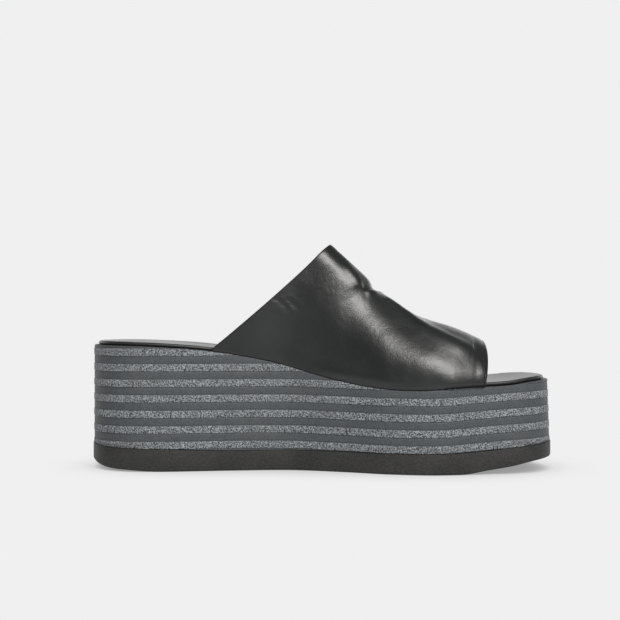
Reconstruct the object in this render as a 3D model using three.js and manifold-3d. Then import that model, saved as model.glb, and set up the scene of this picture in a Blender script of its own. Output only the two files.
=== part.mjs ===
// A left women's leather mule: an open-toed, open-backed leather upper on a thick ribbed sole.
// Millimetres. +X runs from heel to toe, +Y to the outer side of the foot, +Z up from the floor.
import * as THREE from "three";
import { mergeVertices } from "three/addons/utils/BufferGeometryUtils.js";
import Module from "manifold-3d";

const wasm = await Module();
wasm.setup();

// Sizes of the sole
const LENGTH = 257; // outsole, back of the heel to tip of the toe
const HEEL_WIDTH = 66;
const WAIST_WIDTH = 61;
const BALL_WIDTH = 94;
const TOE_WIDTH = 83; // across the toe, where its round front begins
const TOE_TURN = 9; // how far the toe's tip lies to the inner side
const HEEL_ROUND = 33.5; // length of the heel's round back
const TOE_ROUND = 50; // length of the toe's round front
const HEEL_HEIGHT = 68.6; // floor to the top of the midsole at the heel
const FOREFOOT_HEIGHT = 45; // floor to the top of the midsole at the ball
const TOE_RISE = 4.8; // how much higher the midsole's top is at the tip than at the ball
const OUTSOLE_THICKNESS = 11;
const OUTSOLE_LIP = 0.35; // how far the outsole stands out from the midsole
const OUTSOLE_END_RISE = 4.9; // how far the outsole's top edge climbs at the tip of the toe
const OUTSOLE_EDGE = 1.2; // rounding of the outsole's lower edge
const HEEL_SPRING = 4.6; // height of the sole's lower edge over the floor at the back
const TOE_SPRING = 7.3; // the same at the tip of the toe
const TOE_DRAFT = 1.2; // how far the midsole leans back over its height at the toe

// Sizes of the ribs round the midsole
const RIB_WIDTH = 4.3; // the raised rough rib
const RIB_SPACE = 4.15; // the sunk smooth band between two ribs
const RIB_DEPTH = 0.6;
const RIB_SHOULDER = 0.3; // height of the slope from rib to band
const RIB_START = 12.1; // floor to the lower edge of the first rib
const RIB_SAG = 0.95; // how far the ribs dip under the ball
const RIB_TOE_RISE = 3.5; // how far they climb to the tip of the toe

// Sizes of the insole and the upper
const INSOLE_THICKNESS = 2;
const WALL = 2; // leather and lining together
const CLEARANCE = 0.3; // between two pieces that meet
const RIM_GAP = 0.55; // between the upper's wall and the rim of the insole
const INSTEP_HEIGHT = 74.2; // midsole to the top of the collar
const TOE_OPENING_HEIGHT = 23.8; // midsole to the top of the front edge
const RIDGE_SHIFT = 8; // how far the instep's ridge lies to the inner side
const COLLAR_SWEEP = 1.3; // how far the collar's line bows inwards
const HEM_WIDTH = 7; // the turned hem of the front edge
const HEM_RAISE = 0.4;
const HEM_BEVEL = 1.75; // length of the slope up to the hem

// Places of the upper's edges, as shares of the length from the heel
const EDGES = { collarBase: 0.264, collarTop: 0.521, frontBase: 0.845, frontTop: 0.8585 };

// Outline seen from above: the width at each station and the share of it on the inner side
const PLAN = [
  { at: 0, width: HEEL_WIDTH, inner: 0.5 },
  { at: 0.15, width: HEEL_WIDTH, inner: 0.5 },
  { at: 0.3, width: 1.02 * WAIST_WIDTH, inner: 0.455 },
  { at: 0.42, width: WAIST_WIDTH, inner: 0.418 },
  { at: 0.545, width: (WAIST_WIDTH + BALL_WIDTH) / 2, inner: 0.436 },
  { at: 0.645, width: 0.98 * BALL_WIDTH, inner: 0.475 },
  { at: 0.735, width: BALL_WIDTH, inner: 0.505 },
  { at: 0.875, width: TOE_WIDTH, inner: 0.495 },
  { at: 1, width: TOE_WIDTH, inner: 0.5 },
];
const ROUND_POWER = 2.2; // squareness of the round ends
const TURN_START = 0.735; // where the toe begins to turn inwards

// Top of the midsole: shares of the drop from heel to ball, and of the rise at the toe
const FOOTBED = [
  { at: 0, heel: 1, toe: 0 },
  { at: 0.139, heel: 0.97, toe: 0 },
  { at: 0.265, heel: 0.864, toe: 0 },
  { at: 0.392, heel: 0.623, toe: 0 },
  { at: 0.456, heel: 0.428, toe: 0 },
  { at: 0.52, heel: 0.237, toe: 0 },
  { at: 0.582, heel: 0.093, toe: 0 },
  { at: 0.643, heel: 0.013, toe: 0 },
  { at: 0.705, heel: 0, toe: 0 },
  { at: 0.81, heel: 0, toe: 0.29 },
  { at: 0.899, heel: 0, toe: 0.52 },
  { at: 0.949, heel: 0, toe: 0.85 },
  { at: 1, heel: 0, toe: 1 },
];

// Underside and top edge of the outsole: shares of the springs and of the rise at the ends
const TREAD = [
  { at: 0, heel: 1, toe: 0, top: 0.6 },
  { at: 0.02, heel: 0.62, toe: 0, top: 0.5 },
  { at: 0.045, heel: 0.34, toe: 0, top: 0.4 },
  { at: 0.09, heel: 0.18, toe: 0, top: 0.3 },
  { at: 0.16, heel: 0, toe: 0, top: 0.22 },
  { at: 0.3, heel: 0, toe: 0, top: 0 },
  { at: 0.7, heel: 0, toe: 0, top: 0 },
  { at: 0.79, heel: 0, toe: 0, top: 0.11 },
  { at: 0.853, heel: 0, toe: 0.29, top: 0.32 },
  { at: 0.899, heel: 0, toe: 0.53, top: 0.57 },
  { at: 0.949, heel: 0, toe: 0.85, top: 0.78 },
  { at: 1, heel: 0, toe: 1, top: 1 },
];

// Course of the ribs along the midsole: shares of their sag and of their rise at the toe
const RIB_COURSE = [
  { at: 0, sag: 0, toe: 0 },
  { at: 0.3, sag: 0, toe: 0 },
  { at: 0.456, sag: 0.2, toe: 0 },
  { at: 0.52, sag: 0.5, toe: 0 },
  { at: 0.643, sag: 0.95, toe: 0 },
  { at: 0.7, sag: 1, toe: 0 },
  { at: 0.768, sag: 1, toe: 0.1 },
  { at: 0.818, sag: 1, toe: 0.36 },
  { at: 0.899, sag: 1, toe: 0.76 },
  { at: 1, sag: 1, toe: 1 },
];

// Sections of the upper, from the collar to the front edge. ridge is a share of the drop from
// instep to toe opening, shift a share of RIDGE_SHIFT, and a lean over 1 draws a wall inwards.
// The last row lies past the front edge, so that the ridge still falls there.
const SECTIONS = [
  { at: 0, ridge: 1, shift: 1, innerLean: 1, outerLean: 1.02 },
  { at: 0.065, ridge: 0.937, shift: 1, innerLean: 1, outerLean: 1.02 },
  { at: 0.19, ridge: 0.785, shift: 0.98, innerLean: 1, outerLean: 1.02 },
  { at: 0.26, ridge: 0.69, shift: 0.95, innerLean: 1, outerLean: 1.02 },
  { at: 0.315, ridge: 0.592, shift: 0.9, innerLean: 1, outerLean: 1.02 },
  { at: 0.39, ridge: 0.492, shift: 0.83, innerLean: 0.98, outerLean: 1 },
  { at: 0.52, ridge: 0.362, shift: 0.7, innerLean: 0.95, outerLean: 0.97 },
  { at: 0.65, ridge: 0.267, shift: 0.5, innerLean: 0.9, outerLean: 0.92 },
  { at: 0.78, ridge: 0.186, shift: 0.37, innerLean: 0.84, outerLean: 0.86 },
  { at: 0.91, ridge: 0.085, shift: 0.3, innerLean: 0.8, outerLean: 0.8 },
  { at: 1, ridge: 0, shift: 0.3, innerLean: 0.8, outerLean: 0.8 },
  { at: 1.1, ridge: -0.1, shift: 0.3, innerLean: 0.8, outerLean: 0.8 },
];

// Soft folds of the upper: both ends as shares from collar to front (along) and from the inner
// to the outer side (over), the depth in walls, and the half width as a share of the arch
const FOLDS = [
  { along: 0.04, over: 0.42, endAlong: 0.5, endOver: 0.4, depth: -0.5, width: 0.05 },
  { along: 0.25, over: 0.46, endAlong: 0.33, endOver: 0.45, depth: -0.6, width: 0.035 },
  { along: 0.1, over: 0.3, endAlong: 0.75, endOver: 0.25, depth: 0.4, width: 0.07 },
];

const COLLAR_FADE = 6; // how quickly the collar's sweep dies away towards the toe

// Fineness of the meshes
const STATIONS = 42; // steps from heel to toe down one side
const ALONG = 26; // steps from collar to hem
const OVER = 30; // steps over the foot from side to side
const NORMAL_STEP = 0.004; // share of the upper over which its slope is measured

const share = (x) => THREE.MathUtils.clamp(x / LENGTH + 0.5, 0, 1);
const place = (at) => (at - 0.5) * LENGTH;

// Slope of a column at row i: zero on a crest, a dip or a level stretch, and never so steep that
// the curve overshoots a row
function slopeAt(rows, column, i) {
  if (i === 0 || i === rows.length - 1) return 0;
  const [a, b, c] = [rows[i - 1], rows[i], rows[i + 1]];
  const before = (b[column] - a[column]) / (b.at - a.at);
  const after = (c[column] - b[column]) / (c.at - b.at);
  if (before * after <= 0) return 0;
  const steepest = 3 * Math.min(Math.abs(before), Math.abs(after));
  return Math.sign(before) * Math.min(Math.abs(before + after) / 2, steepest);
}

// Smooth value of a table's column at a share of the length
function smooth(rows, column, at) {
  const last = rows.findIndex((row) => row.at >= at);
  const i = Math.max(0, (last < 0 ? rows.length - 1 : last) - 1);
  const [a, b] = [rows[i], rows[i + 1]];
  const span = b.at - a.at;
  const t = (at - a.at) / span;
  const rise = t * t * (3 - 2 * t);
  const leave = t * (1 - t) * (1 - t) * span * slopeAt(rows, column, i);
  const arrive = t * t * (t - 1) * span * slopeAt(rows, column, i + 1);
  return a[column] * (1 - rise) + b[column] * rise + leave + arrive;
}

// Heights over the floor at a share of the length
function footbed(at) {
  const drop = HEEL_HEIGHT - FOREFOOT_HEIGHT;
  return FOREFOOT_HEIGHT + drop * smooth(FOOTBED, "heel", at) + TOE_RISE * smooth(FOOTBED, "toe", at);
}

function tread(at) {
  return HEEL_SPRING * smooth(TREAD, "heel", at) + TOE_SPRING * smooth(TREAD, "toe", at);
}

function outsoleTop(at) {
  return OUTSOLE_THICKNESS + OUTSOLE_END_RISE * smooth(TREAD, "top", at);
}

function ribCourse(at) {
  return RIB_TOE_RISE * smooth(RIB_COURSE, "toe", at) - RIB_SAG * smooth(RIB_COURSE, "sag", at);
}

// How much of the full width is left inside the round back and the round front
function roundEnd(at) {
  const x = at * LENGTH;
  const into = Math.max(1 - x / HEEL_ROUND, 1 - (LENGTH - x) / TOE_ROUND, 0);
  return Math.pow(1 - Math.pow(Math.min(into, 1), ROUND_POWER), 1 / ROUND_POWER);
}

const midline = (at) => -TOE_TURN * Math.pow(Math.max(0, (at - TURN_START) / (1 - TURN_START)), 2);

// Y of the outline at a share of the length, on the inner (-1) or the outer side (+1)
function outlineY(at, side) {
  const inner = smooth(PLAN, "inner", at);
  const half = smooth(PLAN, "width", at) * (side < 0 ? inner : 1 - inner);
  return midline(at) + side * half * roundEnd(at);
}

// The outline as points: heel, inner side, toe, outer side
const OUTLINE = Array.from({ length: 2 * STATIONS }, (_, i) => {
  const at = (1 - Math.cos((Math.PI * i) / STATIONS)) / 2;
  return new THREE.Vector2(place(at), outlineY(at, i <= STATIONS ? -1 : 1));
});

// A ring that follows the outline, set in by inset(at), at the height over the floor height(at)
function ring(inset, height) {
  return OUTLINE.map((point, i) => {
    const before = OUTLINE[(i + OUTLINE.length - 1) % OUTLINE.length];
    const after = OUTLINE[(i + 1) % OUTLINE.length];
    const run = after.clone().sub(before).normalize();
    const depth = inset(share(point.x));
    const x = point.x - run.y * depth;
    const y = point.y + run.x * depth;
    return new THREE.Vector3(x, y, height(share(x)));
  });
}

function geometryFrom(points, faces) {
  const geometry = new THREE.BufferGeometry().setFromPoints(points);
  geometry.setIndex(faces.flat());
  geometry.computeVertexNormals();
  return geometry;
}

// A closed body through rings stacked from the lowest to the highest
function stack(rings) {
  const count = rings[0].length;
  const faces = [];
  for (let k = 0; k < rings.length - 1; k++) {
    for (let i = 0; i < count; i++) {
      const a = k * count + i;
      const b = k * count + ((i + 1) % count);
      faces.push([a, b, b + count], [a, b + count, a + count]);
    }
  }
  const top = (rings.length - 1) * count;
  for (let i = 0; i < count / 2; i++) {
    const inner = [i, i + 1];
    const outer = [(count - i) % count, count - i - 1];
    if (i < count / 2 - 1) {
      faces.push([top + inner[0], top + inner[1], top + outer[1]]);
      faces.push([outer[1], inner[1], inner[0]]);
    }
    if (i > 0) {
      faces.push([top + inner[0], top + outer[1], top + outer[0]]);
      faces.push([outer[0], outer[1], inner[0]]);
    }
  }
  return geometryFrom(rings.flat(), faces);
}

function solidOf(geometry) {
  const bare = geometry.clone();
  bare.deleteAttribute("normal");
  const merged = mergeVertices(bare, 1e-4);
  return new wasm.Manifold(
    new wasm.Mesh({
      numProp: 3,
      vertProperties: new Float32Array(merged.attributes.position.array),
      triVerts: new Uint32Array(merged.index.array),
    }),
  );
}

function geometryOf(solid) {
  const mesh = solid.getMesh();
  const geometry = new THREE.BufferGeometry();
  geometry.setAttribute("position", new THREE.BufferAttribute(new Float32Array(mesh.vertProperties), 3));
  geometry.setIndex(new THREE.BufferAttribute(new Uint32Array(mesh.triVerts), 1));
  geometry.computeVertexNormals();
  return geometry;
}

// Outsole: flat under heel and forefoot, lifted at both ends, with a rounded lower edge
function outsole() {
  const rows = [
    { inset: OUTSOLE_EDGE, up: 0 },
    { inset: 0.3 * OUTSOLE_EDGE, up: 0.3 * OUTSOLE_EDGE },
    { inset: 0, up: OUTSOLE_EDGE },
  ];
  const lower = rows.map((row) => ring(() => row.inset, (at) => tread(at) + row.up));
  return stack([...lower, ring(() => 0, outsoleTop)]);
}

// How far the midsole's side is set in at a height: the lip, and the lean at the toe
function sideInset(at, z) {
  const low = outsoleTop(at);
  const lean = Math.max(0, (z - low) / (footbed(at) - low));
  const toe = Math.pow(Math.max(0, (at - TURN_START) / (1 - TURN_START)), 2);
  return OUTSOLE_LIP + TOE_DRAFT * Math.min(lean, 1) * toe;
}

// Midsole: a stack of ribs and bands, cut to the outsole's top and to the footbed
function midsole() {
  const reach = HEEL_HEIGHT + TOE_RISE + RIB_SAG;
  const rings = [];
  const level = (z, depth) =>
    rings.push(ring((at) => sideInset(at, z + ribCourse(at)) + depth, (at) => z + ribCourse(at)));
  const pitch = RIB_WIDTH + RIB_SPACE;
  level(RIB_START - pitch, RIB_DEPTH);
  for (let low = RIB_START; low < reach; low += pitch) {
    level(low, RIB_DEPTH);
    level(low + RIB_SHOULDER, 0);
    level(low + RIB_WIDTH - RIB_SHOULDER, 0);
    level(low + RIB_WIDTH, RIB_DEPTH);
  }
  level(reach + pitch, RIB_DEPTH);
  const between = stack([
    ring(() => -RIB_WIDTH, (at) => outsoleTop(at) + CLEARANCE),
    ring(() => -RIB_WIDTH, footbed),
  ]);
  return geometryOf(solidOf(stack(rings)).intersect(solidOf(between)));
}

// Insole: a thin board with a rounded, wrapped rim, inside the upper's wall
function insole() {
  const rows = [
    { inset: 0.3, up: 0 },
    { inset: 0, up: 0.25 },
    { inset: 0, up: 0.6 },
    { inset: 0.2, up: 0.85 },
    { inset: 0.6, up: 1 },
  ];
  const rim = WALL + RIM_GAP;
  return stack(
    rows.map((row) =>
      ring(
        (at) => sideInset(at, footbed(at)) + rim + row.inset * INSOLE_THICKNESS,
        (at) => footbed(at) + CLEARANCE + row.up * INSOLE_THICKNESS,
      ),
    ),
  );
}

// How far the folds lift or sink the leather at a place on the upper
function foldHeight(along, over) {
  return FOLDS.reduce((sum, fold) => {
    const run = new THREE.Vector2(fold.endAlong - fold.along, fold.endOver - fold.over);
    const here = new THREE.Vector2(along - fold.along, over - fold.over);
    const t = here.dot(run) / run.lengthSq();
    const off = Math.abs(here.cross(run)) / run.length() / fold.width;
    const past = Math.max(0, -t, t - 1) * (run.length() / fold.width);
    return sum + fold.depth * WALL * Math.exp(-off * off - past * past);
  }, 0);
}

// A point of the upper's outer face, before folds: along runs from collar to front edge, and
// over from the inner edge of the sole (0) across the ridge (0.5) to the outer edge (1)
function upperPoint(along, over) {
  const baseX = place(THREE.MathUtils.lerp(EDGES.collarBase, EDGES.frontBase, along));
  const ridgeX = place(THREE.MathUtils.lerp(EDGES.collarTop, EDGES.frontTop, along));
  const side = over < 0.5 ? -1 : 1;
  const angle = Math.PI * over;
  const lean = smooth(SECTIONS, side < 0 ? "innerLean" : "outerLean", along);
  const lift = Math.pow(Math.max(0, Math.sin(angle)), lean);
  const sweep = COLLAR_SWEEP * 4 * lift * (1 - lift) * Math.pow(1 - along, COLLAR_FADE);
  const x = THREE.MathUtils.lerp(baseX, ridgeX, lift) + sweep;
  const baseZ = footbed(share(baseX)) + CLEARANCE;
  const drop = INSTEP_HEIGHT - TOE_OPENING_HEIGHT;
  const ridgeZ = footbed(share(ridgeX)) + TOE_OPENING_HEIGHT + drop * smooth(SECTIONS, "ridge", along);
  const ridgeY = midline(share(ridgeX)) - RIDGE_SHIFT * smooth(SECTIONS, "shift", along);
  const edgeY = outlineY(share(x), side) - side * sideInset(share(x), footbed(share(x)));
  const y = THREE.MathUtils.lerp(ridgeY, edgeY, Math.abs(Math.cos(angle)));
  return new THREE.Vector3(x, y, THREE.MathUtils.lerp(baseZ, ridgeZ, lift));
}

// Outward normal of that face
function upperNormal(along, over) {
  const keep = (value) => THREE.MathUtils.clamp(value, 0, 1);
  const forward = upperPoint(keep(along + NORMAL_STEP), over);
  const across = upperPoint(along, keep(over + NORMAL_STEP));
  forward.sub(upperPoint(keep(along - NORMAL_STEP), over));
  across.sub(upperPoint(along, keep(over - NORMAL_STEP)));
  return forward.cross(across).normalize();
}

// The outer and the inner face of the upper's wall, as one row of points for each along
function wallFaces(alongs, hem) {
  const outer = [];
  const inner = [];
  for (const along of alongs) {
    for (let j = 0; j <= OVER; j++) {
      const over = j / OVER;
      const atSole = j === 0 || j === OVER;
      const point = upperPoint(along, over);
      const normal = atSole ? new THREE.Vector3(0, Math.sign(over - 0.5), 0) : upperNormal(along, over);
      const raised = along > hem && !atSole ? HEM_RAISE : 0;
      const fold = atSole ? 0 : foldHeight(along, over);
      outer.push(point.clone().addScaledVector(normal, fold + raised));
      inner.push(point.clone().addScaledVector(normal, fold - WALL));
    }
  }
  return [outer, inner];
}

// Upper: one wall over the foot, open at collar, toe and underneath
function upper() {
  const run = place(EDGES.frontBase) - place(EDGES.collarBase);
  const hem = 1 - HEM_WIDTH / run;
  const alongs = Array.from({ length: ALONG + 1 }, (_, i) => (i / ALONG) * hem);
  alongs.push(hem + HEM_BEVEL / run, 1);
  const [outer, inner] = wallFaces(alongs, hem);
  const wide = OVER + 1;
  const skin = outer.length;
  const faces = [];
  const quad = (a, b, c, d) => faces.push([a, b, c], [a, c, d]);
  for (let i = 0; i < alongs.length - 1; i++) {
    for (let j = 0; j < OVER; j++) {
      const a = i * wide + j;
      quad(a, a + wide, a + wide + 1, a + 1);
      quad(skin + a, skin + a + 1, skin + a + wide + 1, skin + a + wide);
    }
    const far = i * wide + OVER;
    quad(i * wide, skin + i * wide, skin + (i + 1) * wide, (i + 1) * wide);
    quad(far, far + wide, skin + far + wide, skin + far);
  }
  const front = (alongs.length - 1) * wide;
  for (let j = 0; j < OVER; j++) {
    quad(j, j + 1, skin + j + 1, skin + j);
    quad(front + j, skin + front + j, skin + front + j + 1, front + j + 1);
  }
  return geometryFrom([...outer, ...inner], faces);
}

const COLOURS = {
  rubber: new THREE.MeshStandardMaterial({ color: 0x1f1d1b, roughness: 0.75, metalness: 0 }),
  crumb: new THREE.MeshStandardMaterial({ color: 0x4d4f53, roughness: 0.85, metalness: 0 }),
  lining: new THREE.MeshStandardMaterial({ color: 0x222222, roughness: 0.5, metalness: 0 }),
  leather: new THREE.MeshStandardMaterial({ color: 0x161616, roughness: 0.38, metalness: 0 }),
};

function piece(name, geometry, material) {
  const mesh = new THREE.Mesh(geometry, material);
  mesh.name = name;
  return mesh;
}

// The shoe's own origin is on the floor, under the middle of its outline
const sides = OUTLINE.map((point) => point.y);
const shoe = new THREE.Group();
shoe.position.y = -(Math.min(...sides) + Math.max(...sides)) / 2;
shoe.add(piece("outsole", outsole(), COLOURS.rubber));
shoe.add(piece("midsole", midsole(), COLOURS.crumb));
shoe.add(piece("insole", insole(), COLOURS.lining));
shoe.add(piece("upper", upper(), COLOURS.leather));

export default shoe;
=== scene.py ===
# %% [markdown]
# # A leather mule on a flatform sole
#
# The CAD model of this shoe is already finished: four plain solids that lie where they should.
# This lesson loads them as a fixed frame and makes the finished look around them: a ribbed foam
# sole on a rubber tread, an insole wrapped in leather, and a soft black upper with its creases.
#
# Everything is worked out from the sizes of the shoe itself, in millimetres, and scaled to
# Blender's metres when a point is placed.

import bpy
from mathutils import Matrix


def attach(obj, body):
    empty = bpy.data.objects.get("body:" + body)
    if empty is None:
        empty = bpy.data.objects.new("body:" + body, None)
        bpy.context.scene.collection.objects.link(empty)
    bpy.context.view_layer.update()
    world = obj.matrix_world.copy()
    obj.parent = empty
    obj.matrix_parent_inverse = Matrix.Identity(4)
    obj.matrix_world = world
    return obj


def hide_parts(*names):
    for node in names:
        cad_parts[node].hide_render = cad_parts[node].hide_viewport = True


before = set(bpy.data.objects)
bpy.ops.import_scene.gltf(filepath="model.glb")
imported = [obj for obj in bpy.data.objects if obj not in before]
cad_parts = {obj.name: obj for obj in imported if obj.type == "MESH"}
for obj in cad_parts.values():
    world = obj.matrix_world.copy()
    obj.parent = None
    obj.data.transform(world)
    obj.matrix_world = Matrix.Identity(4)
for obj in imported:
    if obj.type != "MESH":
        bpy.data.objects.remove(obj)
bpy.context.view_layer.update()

# %% [markdown]
# Python's own modules come next, with Blender's. `bmesh` holds the modelling operators.

# %% Tools
import math
from functools import lru_cache

import bmesh
import bpy
from mathutils import Vector

MM = 0.001

# %% [markdown]
# ## The sizes of the last
#
# A shoe is built over a last, a solid form of the foot. A few driving sizes give its length,
# widths and heights. Tables then say how each of them changes from the back of the heel
# (`at` 0) to the tip of the toe (`at` 1). The values are those of the CAD model, so that the
# finished pieces lie exactly where its solids lie.

# %% Driving sizes
LENGTH = 257
HEEL_WIDTH, WAIST_WIDTH, BALL_WIDTH, TOE_WIDTH = 66, 61, 94, 83
TOE_TURN = 9
HEEL_ROUND, TOE_ROUND, ROUND_POWER = 33.5, 50, 2.2
TURN_START = 0.735

HEEL_HEIGHT, FOREFOOT_HEIGHT, TOE_RISE = 68.6, 45, 4.8
OUTSOLE_THICKNESS, OUTSOLE_LIP, OUTSOLE_END_RISE = 11, 0.35, 4.9
HEEL_SPRING, TOE_SPRING = 4.6, 7.3
TOE_DRAFT = 1.2
CLEARANCE = 0.3


def table(columns, *rows):
    return [dict(zip(columns.split(), row)) for row in rows]


PLAN = table(
    "at width inner",
    (0.000, HEEL_WIDTH, 0.500),
    (0.150, HEEL_WIDTH, 0.500),
    (0.300, 1.02 * WAIST_WIDTH, 0.455),
    (0.420, WAIST_WIDTH, 0.418),
    (0.545, (WAIST_WIDTH + BALL_WIDTH) / 2, 0.436),
    (0.645, 0.98 * BALL_WIDTH, 0.475),
    (0.735, BALL_WIDTH, 0.505),
    (0.875, TOE_WIDTH, 0.495),
    (1.000, TOE_WIDTH, 0.500),
)
FOOTBED = table(
    "at heel toe",
    (0.000, 1.000, 0.00),
    (0.139, 0.970, 0.00),
    (0.265, 0.864, 0.00),
    (0.392, 0.623, 0.00),
    (0.456, 0.428, 0.00),
    (0.520, 0.237, 0.00),
    (0.582, 0.093, 0.00),
    (0.643, 0.013, 0.00),
    (0.705, 0.000, 0.00),
    (0.810, 0.000, 0.29),
    (0.899, 0.000, 0.52),
    (0.949, 0.000, 0.85),
    (1.000, 0.000, 1.00),
)
TREAD = table(
    "at heel toe top",
    (0.000, 1.00, 0.00, 0.60),
    (0.020, 0.62, 0.00, 0.50),
    (0.045, 0.34, 0.00, 0.40),
    (0.090, 0.18, 0.00, 0.30),
    (0.160, 0.00, 0.00, 0.22),
    (0.300, 0.00, 0.00, 0.00),
    (0.700, 0.00, 0.00, 0.00),
    (0.790, 0.00, 0.00, 0.11),
    (0.853, 0.00, 0.29, 0.32),
    (0.899, 0.00, 0.53, 0.57),
    (0.949, 0.00, 0.85, 0.78),
    (1.000, 0.00, 1.00, 1.00),
)
print("Rows for the plan, the footbed and the tread:", len(PLAN), len(FOOTBED), len(TREAD))

# %% [markdown]
# ## A smooth curve through a table
#
# Straight lines between the rows would show as kinks in the finished sole. A cubic that
# passes through each row, level at every crest and dip, never swings past a value of the
# table, so a flat stretch of the sole stays flat.

# %% Curve through a column


def secant(rows, column, i):
    rise = rows[i + 1][column] - rows[i][column]
    return rise / (rows[i + 1]["at"] - rows[i]["at"])


def slope(rows, column, i):
    if i in (0, len(rows) - 1):
        return 0
    before, after = secant(rows, column, i - 1), secant(rows, column, i)
    if before * after <= 0:
        return 0
    steepest = 3 * min(abs(before), abs(after))
    return math.copysign(min(abs(before + after) / 2, steepest), before)


def curve(rows, column, at):
    i = next((k for k, row in enumerate(rows) if row["at"] >= at), len(rows) - 1)
    i = max(i - 1, 0)
    a, b = rows[i], rows[i + 1]
    span = b["at"] - a["at"]
    t = (at - a["at"]) / span
    rise = t * t * (3 - 2 * t)
    leave = t * (1 - t) ** 2 * span * slope(rows, column, i)
    arrive = t * t * (t - 1) * span * slope(rows, column, i + 1)
    return a[column] * (1 - rise) + b[column] * rise + leave + arrive


print("Width halfway along the sole:", round(curve(PLAN, "width", 0.5), 1), "mm")

# %% [markdown]
# ## Heights and outline
#
# From the tables come the heights over the floor of the footbed, the tread and the seam
# between rubber and foam, and the outline of the sole seen from above. The outline is kept
# as two sides, inner (-1) and outer (+1), which meet in the round heel and the round toe.

# %% Heights and outline


def clamp(value, low=0, high=1):
    return max(low, min(high, value))


def lerp(a, b, t):
    return a + (b - a) * t


def share(x):
    return clamp(x / LENGTH + 0.5)


def place(at):
    return (at - 0.5) * LENGTH


@lru_cache(maxsize=None)
def footbed(at):
    heel = (HEEL_HEIGHT - FOREFOOT_HEIGHT) * curve(FOOTBED, "heel", at)
    return FOREFOOT_HEIGHT + heel + TOE_RISE * curve(FOOTBED, "toe", at)


@lru_cache(maxsize=None)
def tread(at):
    return HEEL_SPRING * curve(TREAD, "heel", at) + TOE_SPRING * curve(TREAD, "toe", at)


@lru_cache(maxsize=None)
def outsole_top(at):
    return OUTSOLE_THICKNESS + OUTSOLE_END_RISE * curve(TREAD, "top", at)


def round_end(at):
    x = at * LENGTH
    into = max(1 - x / HEEL_ROUND, 1 - (LENGTH - x) / TOE_ROUND, 0)
    return (1 - min(into, 1) ** ROUND_POWER) ** (1 / ROUND_POWER)


def toe_share(at):
    return max(0, (at - TURN_START) / (1 - TURN_START)) ** 2


def midline(at):
    return -TOE_TURN * toe_share(at)


@lru_cache(maxsize=None)
def outline_y(at, side):
    inner = curve(PLAN, "inner", at)
    half = curve(PLAN, "width", at) * (inner if side < 0 else 1 - inner)
    return midline(at) + side * half * round_end(at)


def side_inset(at, z):
    low = outsole_top(at)
    lean = clamp((z - low) / (footbed(at) - low))
    return OUTSOLE_LIP + TOE_DRAFT * lean * toe_share(at)


reaches = [outline_y(step / 400, side) for step in range(401) for side in (-1, 1)]
PLAN_SHIFT = -(min(reaches) + max(reaches)) / 2
print("Widest:", round(max(reaches) - min(reaches), 2), "mm, moved by", round(PLAN_SHIFT, 2))

# %% [markdown]
# ## The camera
#
# The photograph was taken level with the middle of the shoe, straight at its inner side. The
# camera comes before the pieces, so that each one can be looked at as soon as it is made.

# %% Camera
SENSOR = 36
PICTURE = 620
FOCAL_PIXELS = 1191
CAMERA_AT = (-5.8, -680, 88)
FAR_LIMIT = 20

lens = bpy.data.cameras.new("side_view")
lens.sensor_width = SENSOR
lens.lens = FOCAL_PIXELS * SENSOR / PICTURE
lens.clip_end = FAR_LIMIT
camera = bpy.data.objects.new("side_view", lens)
camera.location = Vector(CAMERA_AT) * MM
camera.rotation_euler = (math.radians(90), 0, 0)
bpy.context.collection.objects.link(camera)
bpy.context.scene.camera = camera
print("Lens:", round(lens.lens, 2), "mm")

# %% [markdown]
# ## Shader maths in Python
#
# A material is a network of nodes. Written one by one, a formula of six terms takes thirty
# lines, so a small class wraps a socket and lets Python's own signs add the Math nodes. Every
# other node comes from one method, which sets its settings first and then its sockets.

# %% A class for sockets and a class for finishes


class Signal:
    """A socket that is used in a formula as a number would be."""

    def __init__(self, finish, socket):
        self.finish = finish
        self.socket = socket

    def maths(self, operation, *values):
        return self.finish.node("Math", {"operation": operation}, dict(enumerate(values)))

    def __add__(self, other):
        return self.maths("ADD", self, other)

    def __radd__(self, other):
        return self.maths("ADD", other, self)

    def __sub__(self, other):
        return self.maths("SUBTRACT", self, other)

    def __rsub__(self, other):
        return self.maths("SUBTRACT", other, self)

    def __mul__(self, other):
        return self.maths("MULTIPLY", self, other)

    def __rmul__(self, other):
        return self.maths("MULTIPLY", other, self)

    def __truediv__(self, other):
        return self.maths("DIVIDE", self, other)

    def __abs__(self):
        return self.maths("ABSOLUTE", self)

    def fraction(self):
        return self.maths("FRACT", self)

    def ramp(self, low, high):
        """0 at the value low, 1 at the value high, and a smooth step between them."""
        settings = {"interpolation_type": "SMOOTHSTEP"}
        sockets = {"Value": self, "From Min": low, "From Max": high}
        return self.finish.node("MapRange", settings, sockets)


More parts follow.
